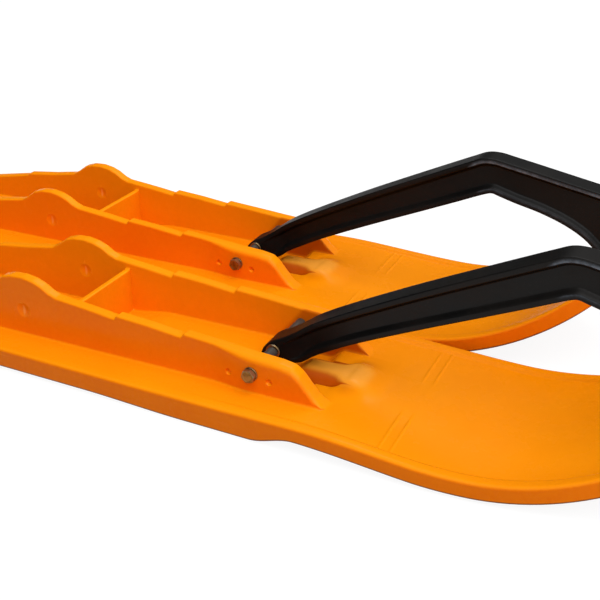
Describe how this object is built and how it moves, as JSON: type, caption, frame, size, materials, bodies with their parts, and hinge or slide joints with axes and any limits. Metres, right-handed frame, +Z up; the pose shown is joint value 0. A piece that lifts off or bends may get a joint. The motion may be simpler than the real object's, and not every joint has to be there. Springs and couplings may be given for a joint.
{
  "type": "pair of snowmobile skis",
  "caption": "Pair of moulded plastic snowmobile skis side by side, each with twin mounting ribs, an upturned shovel, a bent loop handle and a steel wear bar.",
  "frame": {"origin": "middle of the pair's bounding box on the floor the skis stand on", "axes": "+X towards the tips, +Y from the right ski to the left ski, +Z up"},
  "size_m": [1.1837, 0.3322, 0.1527],
  "materials": {
    "orange_plastic": "smooth satin polyethylene",
    "black_plastic": "satin moulded nylon",
    "zinc_plated_steel": "yellowish zinc plate",
    "bar_steel": "bare ground steel"
  },
  "bodies": {
    "right_ski": {"right_loop_bolt": "zinc_plated_steel", "right_loop_handle": "black_plastic", "right_loop_nut": "zinc_plated_steel", "right_loop_spacer_left": "zinc_plated_steel", "right_loop_spacer_right": "zinc_plated_steel", "right_loop_washer_head_side": "zinc_plated_steel", "right_loop_washer_nut_side": "zinc_plated_steel", "right_loop_washer_toe_left": "zinc_plated_steel", "right_loop_washer_toe_right": "zinc_plated_steel", "right_ski_body": "orange_plastic", "right_stud_nut_1": "zinc_plated_steel", "right_stud_nut_2": "zinc_plated_steel", "right_stud_nut_3": "zinc_plated_steel", "right_stud_washer_1": "zinc_plated_steel", "right_stud_washer_2": "zinc_plated_steel", "right_stud_washer_3": "zinc_plated_steel", "right_tip_bolt_1": "zinc_plated_steel", "right_tip_bolt_2": "zinc_plated_steel", "right_tip_nut_1": "zinc_plated_steel", "right_tip_nut_2": "zinc_plated_steel", "right_tip_washer_1": "zinc_plated_steel", "right_tip_washer_2": "zinc_plated_steel", "right_wear_bar": "bar_steel"},
    "left_ski": {"left_loop_bolt": "zinc_plated_steel", "left_loop_handle": "black_plastic", "left_loop_nut": "zinc_plated_steel", "left_loop_spacer_left": "zinc_plated_steel", "left_loop_spacer_right": "zinc_plated_steel", "left_loop_washer_head_side": "zinc_plated_steel", "left_loop_washer_nut_side": "zinc_plated_steel", "left_loop_washer_toe_left": "zinc_plated_steel", "left_loop_washer_toe_right": "zinc_plated_steel", "left_ski_body": "orange_plastic", "left_stud_nut_1": "zinc_plated_steel", "left_stud_nut_2": "zinc_plated_steel", "left_stud_nut_3": "zinc_plated_steel", "left_stud_washer_1": "zinc_plated_steel", "left_stud_washer_2": "zinc_plated_steel", "left_stud_washer_3": "zinc_plated_steel", "left_tip_bolt_1": "zinc_plated_steel", "left_tip_bolt_2": "zinc_plated_steel", "left_tip_nut_1": "zinc_plated_steel", "left_tip_nut_2": "zinc_plated_steel", "left_tip_washer_1": "zinc_plated_steel", "left_tip_washer_2": "zinc_plated_steel", "left_wear_bar": "bar_steel"}
  },
  "joints": [
    {"name": "left_ski_slide", "type": "slide", "parent": "right_ski", "child": "left_ski", "axis": [0, 1, 0], "range_m": [0, 0.9]}
  ]
}
